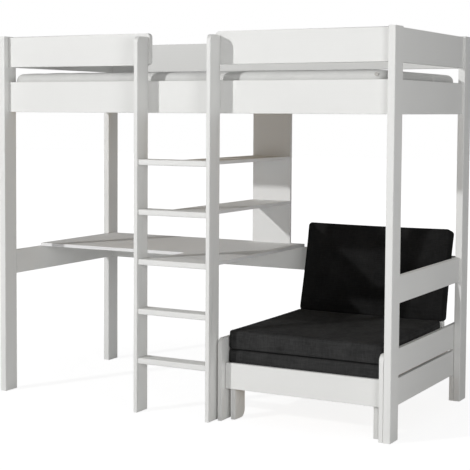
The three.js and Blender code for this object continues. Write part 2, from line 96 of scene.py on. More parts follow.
def sawn(name, along, low, outline, thickness, rim):
    """A board sawn to an outline in two axes, as thick as given along the third, with a soft rim."""
    first, second, third = PROFILE_AXES[along]
    board = bmesh.new()
    rings = []
    for level in (0, thickness):
        ring = []
        for across, up in outline:
            point = Vector(low)
            point[first] += across
            point[second] += up
            point[third] += level
            ring.append(board.verts.new(point))
        rings.append(ring)
    lower, upper = rings
    board.faces.new(reversed(lower))
    board.faces.new(upper)
    rim_edges = []
    for i, vertex in enumerate(lower):
        after = (i + 1) % len(lower)
        board.faces.new((vertex, lower[after], upper[after], upper[i]))
        rim_edges.append(board.edges.get((vertex, lower[after])))
        rim_edges.append(board.edges.get((upper[i], upper[after])))
    bmesh.ops.bevel(board, geom=rim_edges, offset=rim, segments=RIM_SEGMENTS, profile=0.5,
                     affect="EDGES")
    mesh = bpy.data.meshes.new(name)
    board.to_mesh(mesh)
    board.free()
    mesh.shade_smooth()
    mesh.set_sharp_from_angle(angle=SHARP_CORNER)
    piece = bpy.data.objects.new(name, mesh)
    bpy.context.scene.collection.objects.link(piece)
    piece.modifiers.new("flat_faces", "WEIGHTED_NORMAL").keep_sharp = True
    return piece


def milled(node, along, radii, rim):
    """A board milled to the size of its node, with a radius at each corner of its profile."""
    low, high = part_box(node)
    first, second, third = PROFILE_AXES[along]
    size = high - low
    outline = rounded_outline(size[first], size[second], radii)
    return sawn(f"{node}_milled", along, low, outline, size[third], rim)


def linear(hex_colour):
    """An sRGB hex colour as the linear colour of a shader socket."""
    parts = [int(hex_colour[i:i + 2], 16) / 255 for i in (1, 3, 5)]
    parts = [p / 12.92 if p <= 0.04045 else ((p + 0.055) / 1.055) ** 2.4 for p in parts]
    return (*parts, 1)


def add_node(tree, kind, settings=None, links=None):
    """One node. A setting is a socket's value or a property; a link is a socket and what feeds it."""
    node = tree.nodes.new(kind)
    for key, value in (settings or {}).items():
        if isinstance(key, int) or key in node.inputs:
            node.inputs[key].default_value = value
        else:
            setattr(node, key, value)
    for key, output in (links or {}).items():
        tree.links.new(output, node.inputs[key])
    return node


def new_material(name):
    """An empty node material and its surface shader."""
    material = bpy.data.materials.new(name)
    material.use_nodes = True
    tree = material.node_tree
    return material, tree, tree.nodes["Principled BSDF"]


def white_lacquer(along):
    """Satin polyurethane lacquer, sprayed on planed pine: an even warm white with a soft
    highlight. The pine's grain shows through only as faint ridges along the board, every
    4 mm, and the spray leaves a fine ripple of 1.5 mm over them."""
    material, tree, surface = new_material(f"white_lacquer_grain_{along}")
    across = 1 / LACQUERED_GRAIN
    stretch = [across, across, across]
    stretch["xyz".index(along)] = across / GRAIN_LENGTHS
    place = add_node(tree, "ShaderNodeTexCoord").outputs["Object"]
    grain_place = add_node(tree, "ShaderNodeMapping", {"Scale": stretch}, {"Vector": place})
    grain = add_node(tree, "ShaderNodeTexNoise", {"Scale": 1.0, "Detail": 3.0, "Distortion": 0.4},
                     {"Vector": grain_place.outputs["Vector"]})
    ripple = add_node(tree, "ShaderNodeTexNoise", {"Scale": 1 / SPRAY_RIPPLE, "Detail": 1.0},
                      {"Vector": place})
    cloud = add_node(tree, "ShaderNodeTexNoise", {"Scale": 1 / LACQUER_CLOUD, "Detail": 2.0},
                     {"Vector": place})
    tone = add_node(tree, "ShaderNodeMix",
                    {"data_type": "RGBA", 6: linear("#e5e5e3"), 7: linear("#ebebe9")},
                    {0: cloud.outputs["Fac"]})
    streak = add_node(tree, "ShaderNodeMapRange",
                      {"From Min": 0.3, "From Max": 0.75, "To Min": 0.0, "To Max": 0.1},
                      {"Value": grain.outputs["Fac"]})
    colour = add_node(tree, "ShaderNodeMix", {"data_type": "RGBA", 7: linear("#dcdcd8")},
                      {0: streak.outputs["Result"], 6: tone.outputs[2]})
    gloss = add_node(tree, "ShaderNodeMapRange", {"To Min": 0.48, "To Max": 0.58},
                     {"Value": cloud.outputs["Fac"]})
    ridges = add_node(tree, "ShaderNodeBump", {"Strength": 0.25, "Distance": 0.0001},
                      {"Height": grain.outputs["Fac"]})
    peel = add_node(tree, "ShaderNodeBump", {"Strength": 0.15, "Distance": 0.00005},
                    {"Height": ripple.outputs["Fac"], "Normal": ridges.outputs["Normal"]})
    tree.links.new(colour.outputs[2], surface.inputs["Base Color"])
    tree.links.new(gloss.outputs["Result"], surface.inputs["Roughness"])
    tree.links.new(peel.outputs["Normal"], surface.inputs["Normal"])
    surface.inputs["Specular IOR Level"].default_value = 0.35
    return material


lacquer = {along: white_lacquer(along) for along in "xyz"}

for end in ("front", "back"):
    for side in ("left", "right"):
        node = f"post_{end}_{side}"
        post = milled(node, "z", [POST_EDGE] * 4, SAWN_END)
        post.data.materials.append(lacquer["z"])
        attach(post, "bed")
        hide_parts(node)

# Rails and guards. Pine boards, 22 to 24 mm thick, with all long edges
# rounded over and square ends that butt against the posts, where bed bolts
# draw them tight. Lacquered like the posts, with the grain along each board.

BOARD_EDGE = 0.003
BUTT_END = 0.0003

for along, nodes in {
    "x": ("bed_rail_front", "bed_rail_back", "guard_back", "mid_rail_back"),
    "y": ("guard_end_left", "guard_end_right", "bed_rail_end_left", "bed_rail_end_right",
          "mid_rail_left", "mid_rail_right"),
}.items():
    for node in nodes:
        board = milled(node, along, [BOARD_EDGE] * 4, BUTT_END)
        board.data.materials.append(lacquer[along])
        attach(board, "bed")
        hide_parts(node)

# Front guards. Two boards with the way in between them; the ends beside the
# ladder are sawn to a 20 mm radius and rounded over all the way round.

GUARD_END = 0.020

for node, radii in (
    ("guard_front_left", (0, GUARD_END, GUARD_END, 0)),
    ("guard_front_right", (GUARD_END, 0, 0, GUARD_END)),
):
    lower_left, lower_right, upper_right, upper_left = radii
    guard = milled(node, "y", (lower_left, upper_left, upper_right, lower_right), BOARD_EDGE)
    guard.data.materials.append(lacquer["x"])
    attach(guard, "bed")
    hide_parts(node)

# Slatted base. Two bare pine ledgers are screwed to the long rails, and
# fourteen bare slats lie on them, stapled to two woven straps that keep
# their spacing so that the whole base rolls up for transport.

SLAT_COUNT = 14
SLAT_WIDTH = 0.070
SLAT_EDGE = 0.003
STRAP_WIDTH = 0.030
STRAP_THICKNESS = 0.003
STRAP_FROM_SLAT_END = 0.190
PINE_GRAIN = 0.005
PINE_GRAIN_LENGTHS = 40
KNOTS_PER_METRE = 5.0
KNOTS_PER_METRE_ALONG = 2.6
RIB_SPACING = 0.002
ROW_SPACING = 0.003

# The length of one wave of the wave texture at a scale of 1.
WAVE_PERIOD = 0.314


def bare_pine(along):
    """Planed bare pine: straw-coloured early wood with darker late-wood lines 5 mm apart,
    drawn out along the board, small brown knots, and a dull, slightly open surface."""
    material, tree, surface = new_material(f"bare_pine_grain_{along}")
    across = 1 / PINE_GRAIN
    stretch = [across, across, across]
    stretch["xyz".index(along)] = 1 / (PINE_GRAIN * PINE_GRAIN_LENGTHS)
    place = add_node(tree, "ShaderNodeTexCoord").outputs["Object"]
    grain_place = add_node(tree, "ShaderNodeMapping", {"Scale": stretch}, {"Vector": place})
    drift = add_node(tree, "ShaderNodeTexNoise", {"Scale": 0.25, "Detail": 2.0},
                     {"Vector": grain_place.outputs["Vector"]})
    bent = add_node(tree, "ShaderNodeVectorMath", {"operation": "SCALE", "Scale": 4.0},
                    {0: drift.outputs["Color"]})
    rings_place = add_node(tree, "ShaderNodeVectorMath", {"operation": "ADD"},
                           {0: grain_place.outputs["Vector"], 1: bent.outputs["Vector"]})
    rings = add_node(tree, "ShaderNodeTexNoise", {"Scale": 0.9, "Detail": 4.0, "Roughness": 0.55},
                     {"Vector": rings_place.outputs["Vector"]})
    late = add_node(tree, "ShaderNodeMapRange",
                    {"From Min": 0.42, "From Max": 0.68, "To Min": 0.0, "To Max": 0.8},
                    {"Value": rings.outputs["Fac"]})
    wood = add_node(tree, "ShaderNodeMix",
                    {"data_type": "RGBA", 6: linear("#e3c99a"), 7: linear("#c79a5e")},
                    {0: late.outputs["Result"]})
    knot_stretch = [KNOTS_PER_METRE, KNOTS_PER_METRE, KNOTS_PER_METRE]
    knot_stretch["xyz".index(along)] = KNOTS_PER_METRE_ALONG
    knot_place = add_node(tree, "ShaderNodeMapping", {"Scale": knot_stretch}, {"Vector": place})
    knots = add_node(tree, "ShaderNodeTexVoronoi", {"Scale": 1.0, "Randomness": 1.0},
                     {"Vector": knot_place.outputs["Vector"]})
    knot = add_node(tree, "ShaderNodeMapRange",
                    {"From Min": 0.045, "From Max": 0.085, "To Min": 0.85, "To Max": 0.0},
                    {"Value": knots.outputs["Distance"]})
    colour = add_node(tree, "ShaderNodeMix", {"data_type": "RGBA", 7: linear("#7a4c27")},
                      {0: knot.outputs["Result"], 6: wood.outputs[2]})
    ridges = add_node(tree, "ShaderNodeBump", {"Strength": 0.4, "Distance": 0.0002},
                      {"Height": rings.outputs["Fac"]})
    tree.links.new(colour.outputs[2], surface.inputs["Base Color"])
    tree.links.new(ridges.outputs["Normal"], surface.inputs["Normal"])
    surface.inputs["Roughness"].default_value = 0.72
    return material


pine = {along: bare_pine(along) for along in "xy"}

for end in ("front", "back"):
    node = f"slat_ledger_{end}"
    ledger = milled(node, "x", [SLAT_EDGE] * 4, BUTT_END)
    ledger.data.materials.append(pine["x"])
    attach(ledger, "bed")
    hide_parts(node)

base_low, base_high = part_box("slat_base")
slat_step = (base_high.x - base_low.x - SLAT_WIDTH) / (SLAT_COUNT - 1)
for i in range(SLAT_COUNT):
    low = Vector((base_low.x + i * slat_step, base_low.y, base_low.z))
    height = base_high.z - base_low.z
    outline = rounded_outline(height, SLAT_WIDTH, [SLAT_EDGE] * 4)
    slat = sawn(f"bed_slat_{i + 1}", "y", low, outline, base_high.y - base_low.y, SAWN_END)
    slat.data.materials.append(pine["y"])
    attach(slat, "bed")
    if i == 0:
        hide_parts("slat_base")


def woven_strap():
    """Polypropylene webbing: off-white and faintly glossy, with ribs 2 mm apart across it, woven
    in rows of 3 mm."""
    material, tree, surface = new_material("polypropylene_webbing")
    place = add_node(tree, "ShaderNodeTexCoord").outputs["Object"]
    ribs = add_node(tree, "ShaderNodeTexWave",
                    {"bands_direction": "X", "Scale": WAVE_PERIOD / RIB_SPACING}, {"Vector": place})
    rows = add_node(tree, "ShaderNodeTexWave",
                    {"bands_direction": "Y", "Scale": WAVE_PERIOD / ROW_SPACING}, {"Vector": place})
    weave = add_node(tree, "ShaderNodeMath", {"operation": "MULTIPLY"},
                     {0: ribs.outputs["Fac"], 1: rows.outputs["Fac"]})
    colour = add_node(tree, "ShaderNodeMix",
                      {"data_type": "RGBA", 6: linear("#bdb9ae"), 7: linear("#d9d6cc")},
                      {0: weave.outputs["Value"]})
    bump = add_node(tree, "ShaderNodeBump", {"Strength": 0.6, "Distance": 0.0006},
                    {"Height": weave.outputs["Value"]})
    tree.links.new(colour.outputs[2], surface.inputs["Base Color"])
    tree.links.new(bump.outputs["Normal"], surface.inputs["Normal"])
    surface.inputs["Roughness"].default_value = 0.6
    return material


webbing = woven_strap()
strap_bottom = (base_low.z + base_high.z - STRAP_THICKNESS) / 2
for place, front in (
    ("front", base_low.y + STRAP_FROM_SLAT_END),
    ("back", base_high.y - STRAP_FROM_SLAT_END - STRAP_WIDTH),
):
    outline = rounded_outline(STRAP_WIDTH, STRAP_THICKNESS, [STRAP_THICKNESS / 3] * 4)
    low = Vector((base_low.x, front, strap_bottom))
    strap = sawn(f"slat_strap_{place}", "x", low, outline, base_high.x - base_low.x, BUTT_END)
    strap.data.materials.append(webbing)
    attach(strap, "bed")

# Mattress. A foam core in a white woven cover, quilted on its top in
# channels and filled so that its edges are round and its top is crowned.
# A small vent near two of its corners lets the foam breathe.

MATTRESS_CORNER = 0.060
MATTRESS_EDGE = 0.030
MATTRESS_DRAW_IN = 0.002
MATTRESS_MESH = 0.010
CROWN_RISE = 0.0065
CROWN_FALL = 0.016
CROWN_REACH = 0.370
MATTRESS_SHIFT = -0.008
MATTRESS_PLUMP = 0.011
TUCK_PLACE = 0.130
TUCK_WIDTH = 0.010
TUCK_DEPTH = 0.011
QUILT_SPACING = 0.125
QUILT_DEPTH = 0.0035
QUILT_FADE = 0.100
QUILT_ROUNDNESS = 0.5
QUILT_UNEVEN = 0.3
QUILT_WAVES = 9
QUILT_NOISE_HEIGHT = 3.1
COVER_BULGE = 0.0015
COVER_WAVES = 7
COVER_WAVES_UP = 12
COVER_CREASE = 0.06
TWILL_SPACING = 0.0025
VENT_RADIUS = 0.009
VENT_FROM_END = 0.053
VENT_BELOW_TOP = 0.022
VENT_DEPTH = 0.004
VENT_PIT = 0.0006
VENT_PROFILE = ((0.0040, -0.0010), (0.0048, 0), (0.0062, 0.0006), (0.0078, 0.0006),
                (VENT_RADIUS, 0), (VENT_RADIUS, -VENT_DEPTH))


def mattress_ticking():
    """Bleached cotton ticking: a matt white cloth with a 1 mm twill that only ruffles the light,
    drawn at 2.5 mm so that it shows, soft creases, and painted shade greying their hollows a little."""
    material, tree, surface = new_material("white_cotton_ticking")
    place = add_node(tree, "ShaderNodeTexCoord").outputs["Object"]
    slanted = add_node(tree, "ShaderNodeMapping", {"Rotation": (0.5, 0.5, 0.78)}, {"Vector": place})
    twill = add_node(tree, "ShaderNodeTexWave",
                     {"bands_direction": "DIAGONAL", "Scale": WAVE_PERIOD / TWILL_SPACING,
                      "Distortion": 1.0},
                     {"Vector": slanted.outputs["Vector"]})
    soft = add_node(tree, "ShaderNodeTexNoise", {"Scale": 1 / COVER_CREASE, "Detail": 3.0},
                    {"Vector": place})
    # Painted shade: the colour follows the crease noise, so the cloth is greyer where the creases dip.
    colour = add_node(tree, "ShaderNodeMix",
                      {"data_type": "RGBA", 6: linear("#d0d0ce"), 7: linear("#dcdcda")},
                      {0: soft.outputs["Fac"]})
    creases = add_node(tree, "ShaderNodeBump", {"Strength": 0.35, "Distance": 0.003},
                       {"Height": soft.outputs["Fac"]})
    threads = add_node(tree, "ShaderNodeBump", {"Strength": 0.3, "Distance": 0.0004},
                       {"Height": twill.outputs["Fac"], "Normal": creases.outputs["Normal"]})
    tree.links.new(colour.outputs[2], surface.inputs["Base Color"])
    tree.links.new(threads.outputs["Normal"], surface.inputs["Normal"])
    surface.inputs["Roughness"].default_value = 0.92
    surface.inputs["Sheen Weight"].default_value = 0.15
    return material


ticking = mattress_ticking()


def edge_lines(half, edge, zone, spacing):
    """The places of a mesh's lines across a soft block: close at its two ends, even between them."""
    steps = max(2, round(edge / spacing))
    ends = [edge * step / steps for step in range(steps + 1)]
    if zone > edge:
        ends += [edge + (zone - edge) * step / 3 for step in (1, 2, 3)]
    inner = half - ends[-1]
    count = round(2 * inner / spacing)
    between = [inner * (1 - 2 * i / count) for i in range(1, count)]
    return [half - end for end in ends] + between + [end - half for end in reversed(ends)]


def soft_point(place, half, corner, edge, draw_in):
    """A place on the sides of a box moved to the side of a soft block, which has round corners in
    plan, round edges, and sides drawn in between the corners."""
    inner = (half.x - corner, half.y - corner)
    over = [max(0, abs(place[k]) - inner[k]) for k in (0, 1)]
    inset = corner - max(over)
    below = half.z - abs(place.z)
    if inset < edge and below < edge:
        length = math.hypot(edge - inset, edge - below)
        inset = edge - edge * (edge - inset) / length
        below = edge - edge * (edge - below) / length
    point = [abs(place[0]), abs(place[1])]
    if min(over) > 0:
        for k in (0, 1):
            point[k] = inner[k] + over[k] / math.hypot(*over) * (corner - inset)
    elif max(over) > 0:
        side = over.index(max(over))
        point[side] = inner[side] + corner - inset
    shares = [min(1, point[k] / half[k]) for k in (0, 1)]
    for k in (0, 1):
        point[k] -= draw_in * (1 - shares[1 - k] ** 2) * shares[k] ** 8
    return Vector((math.copysign(point[0], place.x), math.copysign(point[1], place.y),
                   math.copysign(half.z - below, place.z)))


def soft_block(name, size, corner, edge, draw_in, spacing):
    """A closed block of quads whose lines follow its round edges. Each point keeps whether it
    lies on a seam, along the middle of a round edge."""
    half = Vector(size) / 2
    lines = [edge_lines(half.x, edge, corner, spacing), edge_lines(half.y, edge, corner, spacing),
             edge_lines(half.z, edge, 0, spacing)]
    counts = [len(line) - 1 for line in lines]
    block = bmesh.new()
    points = {}
    seams = []

    def point_at(index):
        if index not in points:
            place = Vector(line[i] for line, i in zip(lines, index))
            points[index] = block.verts.new(soft_point(place, half, corner, edge, draw_in))
            on_side = index[0] in (0, counts[0]) or index[1] in (0, counts[1])
            seams.append(1.0 if on_side and index[2] in (0, counts[2]) else 0.0)
        return points[index]

    for axis in range(3):
        first, second = [k for k in range(3) if k != axis]
        for level in (0, counts[axis]):
            for i in range(counts[first]):
                for j in range(counts[second]):
                    face = []
                    for step_i, step_j in ((0, 0), (1, 0), (1, 1), (0, 1)):
                        index = [level, level, level]
                        index[first] = i + step_i
                        index[second] = j + step_j
                        face.append(point_at(tuple(index)))
                    block.faces.new(face)
    bmesh.ops.recalc_face_normals(block, faces=block.faces)
    mesh = bpy.data.meshes.new(name)
    block.to_mesh(mesh)
    block.free()
    mesh.attributes.new("seam", "FLOAT", "POINT").data.foreach_set("value", seams)
    mesh.shade_smooth()
    piece = bpy.data.objects.new(name, mesh)
    bpy.context.scene.collection.objects.link(piece)
    return piece


mattress_low, mattress_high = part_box("mattress")
mattress_low += Vector((MATTRESS_SHIFT, -MATTRESS_PLUMP, 0))
mattress_high += Vector((MATTRESS_SHIFT, MATTRESS_PLUMP, 0))
mattress_size = mattress_high - mattress_low
mattress_middle = (mattress_low + mattress_high) / 2
cover = soft_block("mattress_cover", mattress_size, MATTRESS_CORNER, MATTRESS_EDGE,
                   MATTRESS_DRAW_IN, MATTRESS_MESH)
for vertex in cover.data.vertices:
    x, y, z = vertex.co
    to_side = min(mattress_size.x / 2 - abs(x), mattress_size.y / 2 - abs(y))
    rise = CROWN_RISE - CROWN_FALL * max(0, 1 - to_side / CROWN_REACH) ** 4
    fade = min(1, max(0, to_side - MATTRESS_EDGE) / QUILT_FADE)
    if z > 0:
        channel = abs(math.sin(math.pi * (x + mattress_size.x / 2) / QUILT_SPACING))
        ridge = channel ** QUILT_ROUNDNESS
        uneven = noise.noise(Vector((x * QUILT_WAVES, y * QUILT_WAVES, QUILT_NOISE_HEIGHT)))
        dip = QUILT_DEPTH * fade * (1 - ridge + QUILT_UNEVEN * (1 + uneven))
        vertex.co.z += rise * z / (mattress_size.z / 2) - dip
    wave = Vector((x * COVER_WAVES, y * COVER_WAVES, z * COVER_WAVES_UP))
    bulge = COVER_BULGE * noise.noise(wave)
    vertex.co.x *= 1 + bulge / mattress_size.x
    vertex.co.y *= 1 + bulge / mattress_size.y
    if x > mattress_size.x / 2 - MATTRESS_EDGE:
        vertex.co.x -= TUCK_DEPTH * math.exp(-((y - TUCK_PLACE) / TUCK_WIDTH) ** 2)
cover.data.transform(Matrix.Translation(mattress_middle))
cover.data.materials.append(ticking)
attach(cover, "bed")
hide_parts("mattress")


def vent_metal():
    """Nickel-plated brass, stamped: a soft grey gloss, dulled by fine pits every 0.6 mm."""
    material, tree, surface = new_material("nickel_plated_vent")
    place = add_node(tree, "ShaderNodeTexCoord").outputs["Object"]
    pits = add_node(tree, "ShaderNodeTexVoronoi", {"Scale": 1 / VENT_PIT}, {"Vector": place})
    gloss = add_node(tree, "ShaderNodeMapRange", {"To Min": 0.3, "To Max": 0.5},
                     {"Value": pits.outputs["Distance"]})
    bump = add_node(tree, "ShaderNodeBump", {"Strength": 0.3, "Distance": 0.0002},
                    {"Height": pits.outputs["Distance"]})
    tree.links.new(gloss.outputs["Result"], surface.inputs["Roughness"])
    tree.links.new(bump.outputs["Normal"], surface.inputs["Normal"])
    surface.inputs["Base Color"].default_value = linear("#b0aeaa")
    surface.inputs["Metallic"].default_value = 0.25
    return material


def turned(name, profile, sides=28):
    """A body turned round the Y axis. The profile is radius and distance forwards, from its
    middle outwards."""
    body = bmesh.new()
    rings = []
    for radius, ahead in profile:
        ring = []
        for step in range(sides):
            angle = 2 * math.pi * step / sides
            ring.append(body.verts.new((radius * math.cos(angle), -ahead, radius * math.sin(angle))))
        rings.append(ring)
    for inner, outer in zip(rings, rings[1:]):
        for step in range(sides):
            after = (step + 1) % sides
            body.faces.new((inner[step], inner[after], outer[after], outer[step]))
    body.faces.new(rings[0])
    body.faces.new(rings[-1])
    bmesh.ops.recalc_face_normals(body, faces=body.faces)
    mesh = bpy.data.meshes.new(name)
    body.to_mesh(mesh)
    body.free()
    mesh.shade_smooth()
    mesh.set_sharp_from_angle(angle=SHARP_CORNER)
    piece = bpy.data.objects.new(name, mesh)
    bpy.context.scene.collection.objects.link(piece)
    return piece


nickel = vent_metal()
vent_tilt = math.asin(1 - VENT_BELOW_TOP / MATTRESS_EDGE)
vent_inset = MATTRESS_EDGE * (1 - math.cos(vent_tilt))
for place, turn in (("front_right", 0), ("back_left", math.pi)):
    vent = turned(f"mattress_vent_{place}", VENT_PROFILE)
    vent.data.transform(Matrix.Rotation(-vent_tilt, 4, "X"))
    out = Vector((mattress_size.x / 2 - VENT_FROM_END, vent_inset - mattress_size.y / 2,
                  mattress_size.z / 2 - VENT_BELOW_TOP))
    around = Matrix.Translation(mattress_middle) @ Matrix.Rotation(turn, 4, "Z")
    vent.data.transform(around @ Matrix.Translation(out))
    vent.data.materials.append(nickel)
    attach(vent, "bed")

# Ladder. Two pine stiles are bolted flat against the guards and the front
# rail, with their front top corners rounded; five solid treads with well
# rounded edges are let in between them and screwed through the stiles.

STILE_TOP = 0.028
STILE_EDGE = 0.002
RUNG_EDGE = 0.005

for side in ("left", "right"):
    node = f"ladder_stile_{side}"
    stile = milled(node, "x", (STILE_EDGE, STILE_EDGE, STILE_EDGE, STILE_TOP), BOARD_EDGE)
    stile.data.materials.append(lacquer["z"])
    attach(stile, "bed")
    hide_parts(node)
for step in range(1, 6):
    node = f"ladder_rung_{step}"
    rung = milled(node, "x", [RUNG_EDGE] * 4, BUTT_END)
    rung.data.materials.append(lacquer["x"])
    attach(rung, "bed")
    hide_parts(node)

# Desk. A 16 mm melamine-faced particle board, sawn out round the left rear
# post and cut back at the front left for whoever sits at it. Its edges are
# closed with a glued band, and it is screwed down on the mid rails.

DESK_EDGE = 0.001
DESK_CUT_FROM_STILE = 0.052
DESK_CUT_RADIUS = 0.035
DESK_DEPTH = 0.687
DESK_NOTCH_CLEARANCE = 0.0003
CUT_STEPS = 12
PRESS_PEARL = 0.0012
MELAMINE_CLOUD = 0.5
SCRAPER_MARKS = 0.0008
WIDE_FACE = 0.9


def melamine():
    """Melamine paper pressed on particle board: an even cool white, as satin as the lacquer but
    without its grain, with the press plate's fine pearl texture, drawn at 1.2 mm so that it
    shows."""
    material, tree, surface = new_material("white_melamine_board")
    place = add_node(tree, "ShaderNodeTexCoord").outputs["Object"]
    pearl = add_node(tree, "ShaderNodeTexNoise", {"Scale": 1 / PRESS_PEARL, "Detail": 2.0},
                     {"Vector": place})
    cloud = add_node(tree, "ShaderNodeTexNoise", {"Scale": 1 / MELAMINE_CLOUD, "Detail": 2.0},
                     {"Vector": place})
    colour = add_node(tree, "ShaderNodeMix",
                      {"data_type": "RGBA", 6: linear("#e2e2e1"), 7: linear("#e9e9e8")},
                      {0: cloud.outputs["Fac"]})
    bump = add_node(tree, "ShaderNodeBump", {"Strength": 0.2, "Distance": 0.00006},
                    {"Height": pearl.outputs["Fac"]})
    tree.links.new(colour.outputs[2], surface.inputs["Base Color"])
    tree.links.new(bump.outputs["Normal"], surface.inputs["Normal"])
    surface.inputs["Roughness"].default_value = 0.5
    surface.inputs["Specular IOR Level"].default_value = 0.3
    return material


def edge_band():
    """ABS edging, glued on hot and trimmed: a shade brighter than the face, slightly glossier,
    with faint lengthwise scraper marks 0.8 mm apart."""
    material, tree, surface = new_material("white_abs_edge_band")
    place = add_node(tree, "ShaderNodeTexCoord").outputs["Object"]
    marks = add_node(tree, "ShaderNodeTexWave",
                     {"bands_direction": "Z", "Scale": WAVE_PERIOD / SCRAPER_MARKS,
                      "Distortion": 2.0, "Detail": 1.0},
                     {"Vector": place})
    colour = add_node(tree, "ShaderNodeMix",
                      {"data_type": "RGBA", 6: linear("#e8e8e8"), 7: linear("#eeeeee")},
                      {0: marks.outputs["Fac"]})
    bump = add_node(tree, "ShaderNodeBump", {"Strength": 0.1, "Distance": 0.00005},
                    {"Height": marks.outputs["Fac"]})
    tree.links.new(colour.outputs[2], surface.inputs["Base Color"])
    tree.links.new(bump.outputs["Normal"], surface.inputs["Normal"])
    surface.inputs["Roughness"].default_value = 0.42
    surface.inputs["Specular IOR Level"].default_value = 0.35
    return material


melamine_face = melamine()
abs_band = edge_band()


def faced_and_banded(board, across):
    """Melamine on the two wide faces, which look along the given axis, and band on the edges."""
    board.data.materials.append(melamine_face)
    board.data.materials.append(abs_band)
    for face in board.data.polygons:
        face.material_index = 0 if abs(face.normal[across]) > WIDE_FACE else 1


def desk_outline():
    """The desk's plan from its low corner: straight at the front right, cut back on the left,
    with a round inside corner, and notched for the post."""
    low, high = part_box("desk_top")
    width = high.x - low.x
    depth = high.y - low.y
    cut_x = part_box("ladder_stile_left")[1].x + DESK_CUT_FROM_STILE - low.x
    cut_y = depth - DESK_DEPTH
    radius = DESK_CUT_RADIUS
    post_low, post_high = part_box("post_back_left")
    notch_x = post_high.x + DESK_NOTCH_CLEARANCE - low.x
    notch_y = post_low.y - DESK_NOTCH_CLEARANCE - low.y
    points = [(cut_x, 0), (width, 0), (width, depth)]
    points += [(notch_x, depth), (notch_x, notch_y), (0, notch_y), (0, cut_y)]
    for i in range(CUT_STEPS + 1):
        angle = math.radians(90 - 90 * i / CUT_STEPS)
        points.append((cut_x - radius + radius * math.cos(angle),
                       cut_y - radius + radius * math.sin(angle)))
    return points


desk_low, desk_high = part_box("desk_top")
desk = sawn("desk_board", "z", desk_low, desk_outline(), desk_high.z - desk_low.z, DESK_EDGE)
faced_and_banded(desk, 2)
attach(desk, "bed")
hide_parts("desk_top")

# Shelf unit. A tall back panel stands on the desk and is screwed to the
# ledger above it; two shelves run from it to the ladder's treads. All are
# 16 mm melamine board with banded edges.

SHELF_EDGE = 0.001

for node, along, across in (
    ("shelf_back_panel", "z", 1),
    ("shelf_upper", "y", 2),
    ("shelf_lower", "y", 2),
):
    panel = milled(node, along, [SHELF_EDGE] * 4, BUTT_END)
    faced_and_banded(panel, across)
    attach(panel, "bed")
    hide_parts(node)

# Chair bed, side frames. On each side two short legs, with their outer top
# corners rounded, and two boards between them, screwed from inside through
# the legs. Pine, lacquered like the bed.

CHAIR_EDGE = 0.002
CHAIR_CORNER = 0.030
LEG_EDGE = 0.001

for side in ("left", "right"):
    for end, corners in (
        ("front", (LEG_EDGE, LEG_EDGE, LEG_EDGE, CHAIR_CORNER)),
        ("back", (LEG_EDGE, LEG_EDGE, CHAIR_CORNER, LEG_EDGE)),
    ):
        node = f"chair_leg_{end}_{side}"
        leg = milled(node, "x", corners, CHAIR_EDGE)
        leg.data.materials.append(lacquer["z"])
        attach(leg, "bed")
        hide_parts(node)
    for place in ("upper", "lower"):
        node = f"chair_side_{place}_{side}"
        board = milled(node, "y", [CHAIR_EDGE] * 4, BUTT_END)
        board.data.materials.append(lacquer["y"])
        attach(board, "bed")
        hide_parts(node)

# Chair bed, fixed base. A stout lacquered rail for the back cushion between
# the side frames, and below it bare pine: two ledgers, two cross bars and
# the five fixed slats, which are screwed down on the bars.

rail = milled("chair_back_rail", "x", [BOARD_EDGE] * 4, BUTT_END)
rail.data.materials.append(lacquer["x"])
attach(rail, "bed")
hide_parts("chair_back_rail")

for along, nodes in {
    "x": ["chair_bar_front", "chair_bar_back"],
    "y": ["chair_ledger_left", "chair_ledger_right"] + [f"chair_slat_{i}" for i in range(1, 6)],
}.items():
    for node in nodes:
        piece = milled(node, along, [SLAT_EDGE] * 4, SAWN_END if "slat" in node else BUTT_END)
        piece.data.materials.append(pine[along])
        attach(piece, "bed")
        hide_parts(node)

# Pull-out base. A lacquered front board on two lacquered legs, whose rear
# lower corners are rounded so that they slide over carpet, a pine bar, and
# four pine slats that run between the fixed ones like the teeth of a comb.

PULL_OUT_CORNER = 0.035

board = milled("pull_out_front_board", "x", [CHAIR_EDGE] * 4, CHAIR_EDGE)
board.data.materials.append(lacquer["x"])
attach(board, "pull_out")
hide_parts("pull_out_front_board")

for side in ("left", "right"):
    node = f"pull_out_leg_{side}"
    leg = milled(node, "x", (LEG_EDGE, PULL_OUT_CORNER, LEG_EDGE, LEG_EDGE), CHAIR_EDGE)
    leg.data.materials.append(lacquer["z"])
    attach(leg, "pull_out")
    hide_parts(node)

for along, nodes in {
    "x": ["pull_out_bar"],
    "y": [f"pull_out_slat_{i}" for i in range(1, 5)],
}.items():
    for node in nodes:
        piece = milled(node, along, [SLAT_EDGE] * 4, SAWN_END)
        piece.data.materials.append(pine[along])
        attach(piece, "pull_out")
        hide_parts(node)

# Seat cushions. Two foam cushions in black cotton canvas lie on each other. Each cover is a box
# of two panels and a band, sewn together with plain seams that lie in the edges, so that the
# edges stay crisp between the blown-up panels.

CUSHION_CORNER = 0.020
CUSHION_EDGE = 0.012
CUSHION_DRAW_IN = 0.003
CUSHION_MESH = 0.011
SEAT_SWELL = 0.006
SEAM_DEPTH = 0.0014
HELD_SEAM = 0.5
SUNK_SEAM = 0.6
CLOTH_FRAMES = 20
SEAT_PROUD = 0.011
SEAT_CROWN = 0.001
THREAD_SPACING = 0.0024
SLUB_LENGTH = 0.03
SLUB_THICKNESS = 0.004
LINT_PATCH = 0.09


